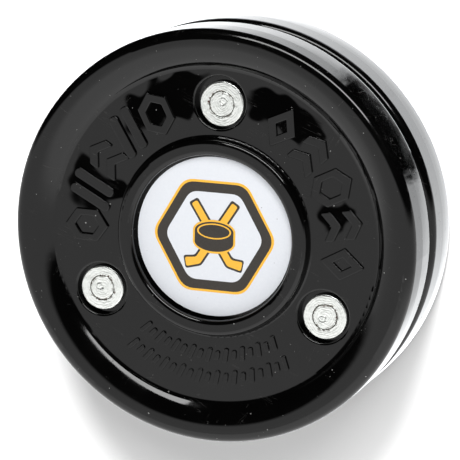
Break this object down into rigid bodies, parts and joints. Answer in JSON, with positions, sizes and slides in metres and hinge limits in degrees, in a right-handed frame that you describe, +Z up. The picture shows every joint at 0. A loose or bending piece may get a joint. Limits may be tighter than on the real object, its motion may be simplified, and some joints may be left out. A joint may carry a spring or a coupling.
{
  "type": "hockey puck",
  "caption": "Off-ice hockey puck: two black moulded shells riveted together with play, raised pattern on both faces, round label and an inner steel weight.",
  "frame": {"origin": "centre of the lower glide land, the flat ring that the puck rests on", "axes": "+Z up along the puck's axis, +Y from the axis towards rivet 1, +X to the right when the upper face is seen with rivet 1 at the top"},
  "size_m": [0.0762, 0.0762, 0.0254],
  "materials": {
    "shell_black": "glossy moulded black with fine scratches and dust",
    "label_vinyl": "white printed vinyl, soft satin",
    "rivet_steel": "bright zinc-plated steel with turning marks, light rust in the seam",
    "weight_steel": "plain sawn and tumbled steel",
    "ink_black": "printed ink",
    "ink_gold": "printed ink"
  },
  "bodies": {
    "lower": {"lower_half": "shell_black", "lower_label": "label_vinyl"},
    "upper": {"upper_half": "shell_black", "upper_label": "label_vinyl"},
    "weight": {"weight_disc": "weight_steel"},
    "rivet_1": {"rivet_1_pin": "rivet_steel", "rivet_1_washer": "rivet_steel"},
    "rivet_2": {"rivet_2_pin": "rivet_steel", "rivet_2_washer": "rivet_steel"},
    "rivet_3": {"rivet_3_pin": "rivet_steel", "rivet_3_washer": "rivet_steel"}
  },
  "joints": [
    {"name": "half_float", "type": "slide", "parent": "lower", "child": "upper", "axis": [0, 0, 1], "range_m": [0, 0.0008]},
    {"name": "weight_float", "type": "slide", "parent": "lower", "child": "weight", "axis": [0, 0, 1], "range_m": [0, 0.0006]},
    {"name": "rivet_1_spin", "type": "hinge", "parent": "upper", "child": "rivet_1", "pos_m": [0.0002, 0.02432, 0.0215], "axis": [0, 0, 1], "continuous": true},
    {"name": "rivet_2_spin", "type": "hinge", "parent": "upper", "child": "rivet_2", "pos_m": [-0.02142, -0.0122, 0.0215], "axis": [0, 0, 1], "continuous": true},
    {"name": "rivet_3_spin", "type": "hinge", "parent": "upper", "child": "rivet_3", "pos_m": [0.02148, -0.01238, 0.0215], "axis": [0, 0, 1], "continuous": true}
  ]
}
